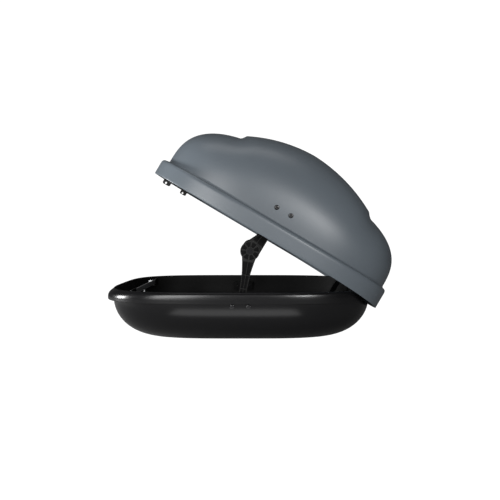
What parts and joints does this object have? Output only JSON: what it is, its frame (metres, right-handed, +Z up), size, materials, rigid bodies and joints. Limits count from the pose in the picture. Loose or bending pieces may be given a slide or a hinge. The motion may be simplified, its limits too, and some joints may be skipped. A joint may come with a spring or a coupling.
{
  "type": "roof cargo box",
  "caption": "Rear-opening hard-shell car roof cargo box: shallow black tray, domed grey lid on front hinges, two folding stays, hook latch with key lock.",
  "frame": {"origin": "middle of the base's flat underside", "axes": "+X towards the front of the car (the hinge end), +Y to the left, +Z up; the lid is shown open"},
  "size_m": [1.0937, 0.8002, 0.7702],
  "materials": {
    "base_plastic": "satin black thermoformed ABS",
    "lid_plastic": "satin blue-grey thermoformed ABS, black inside",
    "moulded_black": "fine-textured black glass-filled nylon",
    "steel_plate": "zinc-plated sheet steel",
    "steel_pin": "zinc-plated turned steel",
    "spring_steel": "oiled spring wire",
    "black_fastener": "black domed cap on a steel screw",
    "hook_nylon": "black nylon"
  },
  "bodies": {
    "base": {"base_shell": "base_plastic", "floor_rail_front": "steel_plate", "floor_rail_rear": "steel_plate", "floor_rail_rivets": "steel_pin", "hinge_bracket_left": "moulded_black", "hinge_bracket_right": "moulded_black", "hinge_pins": "steel_pin", "hinge_bracket_screws": "black_fastener", "stay_foot_left": "moulded_black", "stay_foot_right": "moulded_black", "stay_foot_pins": "steel_pin", "stay_foot_bolts": "black_fastener", "latch_receiver_left": "moulded_black", "latch_receiver_right": "moulded_black", "latch_receiver_screws": "black_fastener", "lock_housing": "moulded_black", "lock_nut": "moulded_black"},
    "lid": {"lid_shell": "lid_plastic", "lid_neck_left": "moulded_black", "lid_neck_right": "moulded_black", "lid_neck_screws": "black_fastener", "stay_guide_left": "moulded_black", "stay_guide_right": "moulded_black", "stay_guide_bolts": "black_fastener", "latch_hook_left": "hook_nylon", "latch_hook_right": "hook_nylon", "latch_hook_screws": "black_fastener"},
    "latch_bar": {"latch_bar": "steel_plate"},
    "lock_cylinder": {"lock_cylinder": "steel_pin"},
    "lower_arm_left": {"lower_arm_left": "moulded_black", "knee_pin_left": "steel_pin"},
    "lower_arm_right": {"lower_arm_right": "moulded_black", "knee_pin_right": "steel_pin"},
    "upper_arm_left": {"upper_arm_left": "moulded_black", "knee_spring_left": "spring_steel", "slide_pin_left": "steel_pin"},
    "upper_arm_right": {"upper_arm_right": "moulded_black", "knee_spring_right": "spring_steel", "slide_pin_right": "steel_pin"}
  },
  "joints": [
    {"name": "lid_hinge", "type": "hinge", "parent": "base", "child": "lid", "pos_m": [0.39, 0, 0.0995], "axis": [0, -1, 0], "range_deg": [0, 30.5], "stiffness_Nm_per_rad": 12, "springref_deg": -171.89},
    {"name": "stay_lower_left", "type": "hinge", "parent": "base", "child": "lower_arm_left", "pos_m": [0, 0.349, 0.133], "axis": [0, -1, 0], "range_deg": [0, 70.84]},
    {"name": "stay_knee_left", "type": "hinge", "parent": "lower_arm_left", "child": "upper_arm_left", "pos_m": [0.0335, 0.349, 0.323], "axis": [0, -1, 0], "range_deg": [-100.75, 0]},
    {"name": "stay_lower_right", "type": "hinge", "parent": "base", "child": "lower_arm_right", "pos_m": [0, -0.349, 0.133], "axis": [0, -1, 0], "range_deg": [0, 70.84]},
    {"name": "stay_knee_right", "type": "hinge", "parent": "lower_arm_right", "child": "upper_arm_right", "pos_m": [0.0335, -0.349, 0.323], "axis": [0, -1, 0], "range_deg": [-100.75, 0]},
    {"name": "lock_turn", "type": "hinge", "parent": "base", "child": "lock_cylinder", "pos_m": [-0.4945, 0, 0.118], "axis": [-1, 0, 0], "range_deg": [0, 90.05]},
    {"name": "latch_slide", "type": "slide", "parent": "base", "child": "latch_bar", "axis": [0, 1, 0], "range_m": [0, 0.02]}
  ],
  "couplings": [
    {"joint": "stay_lower_left", "follows": "lid_hinge", "ratio": 2.3225},
    {"joint": "stay_knee_left", "follows": "lid_hinge", "ratio": -3.303},
    {"joint": "stay_lower_right", "follows": "lid_hinge", "ratio": 2.3225},
    {"joint": "stay_knee_right", "follows": "lid_hinge", "ratio": -3.303},
    {"joint": "lock_turn", "follows": "latch_slide", "rad_per_m": 78.54}
  ]
}
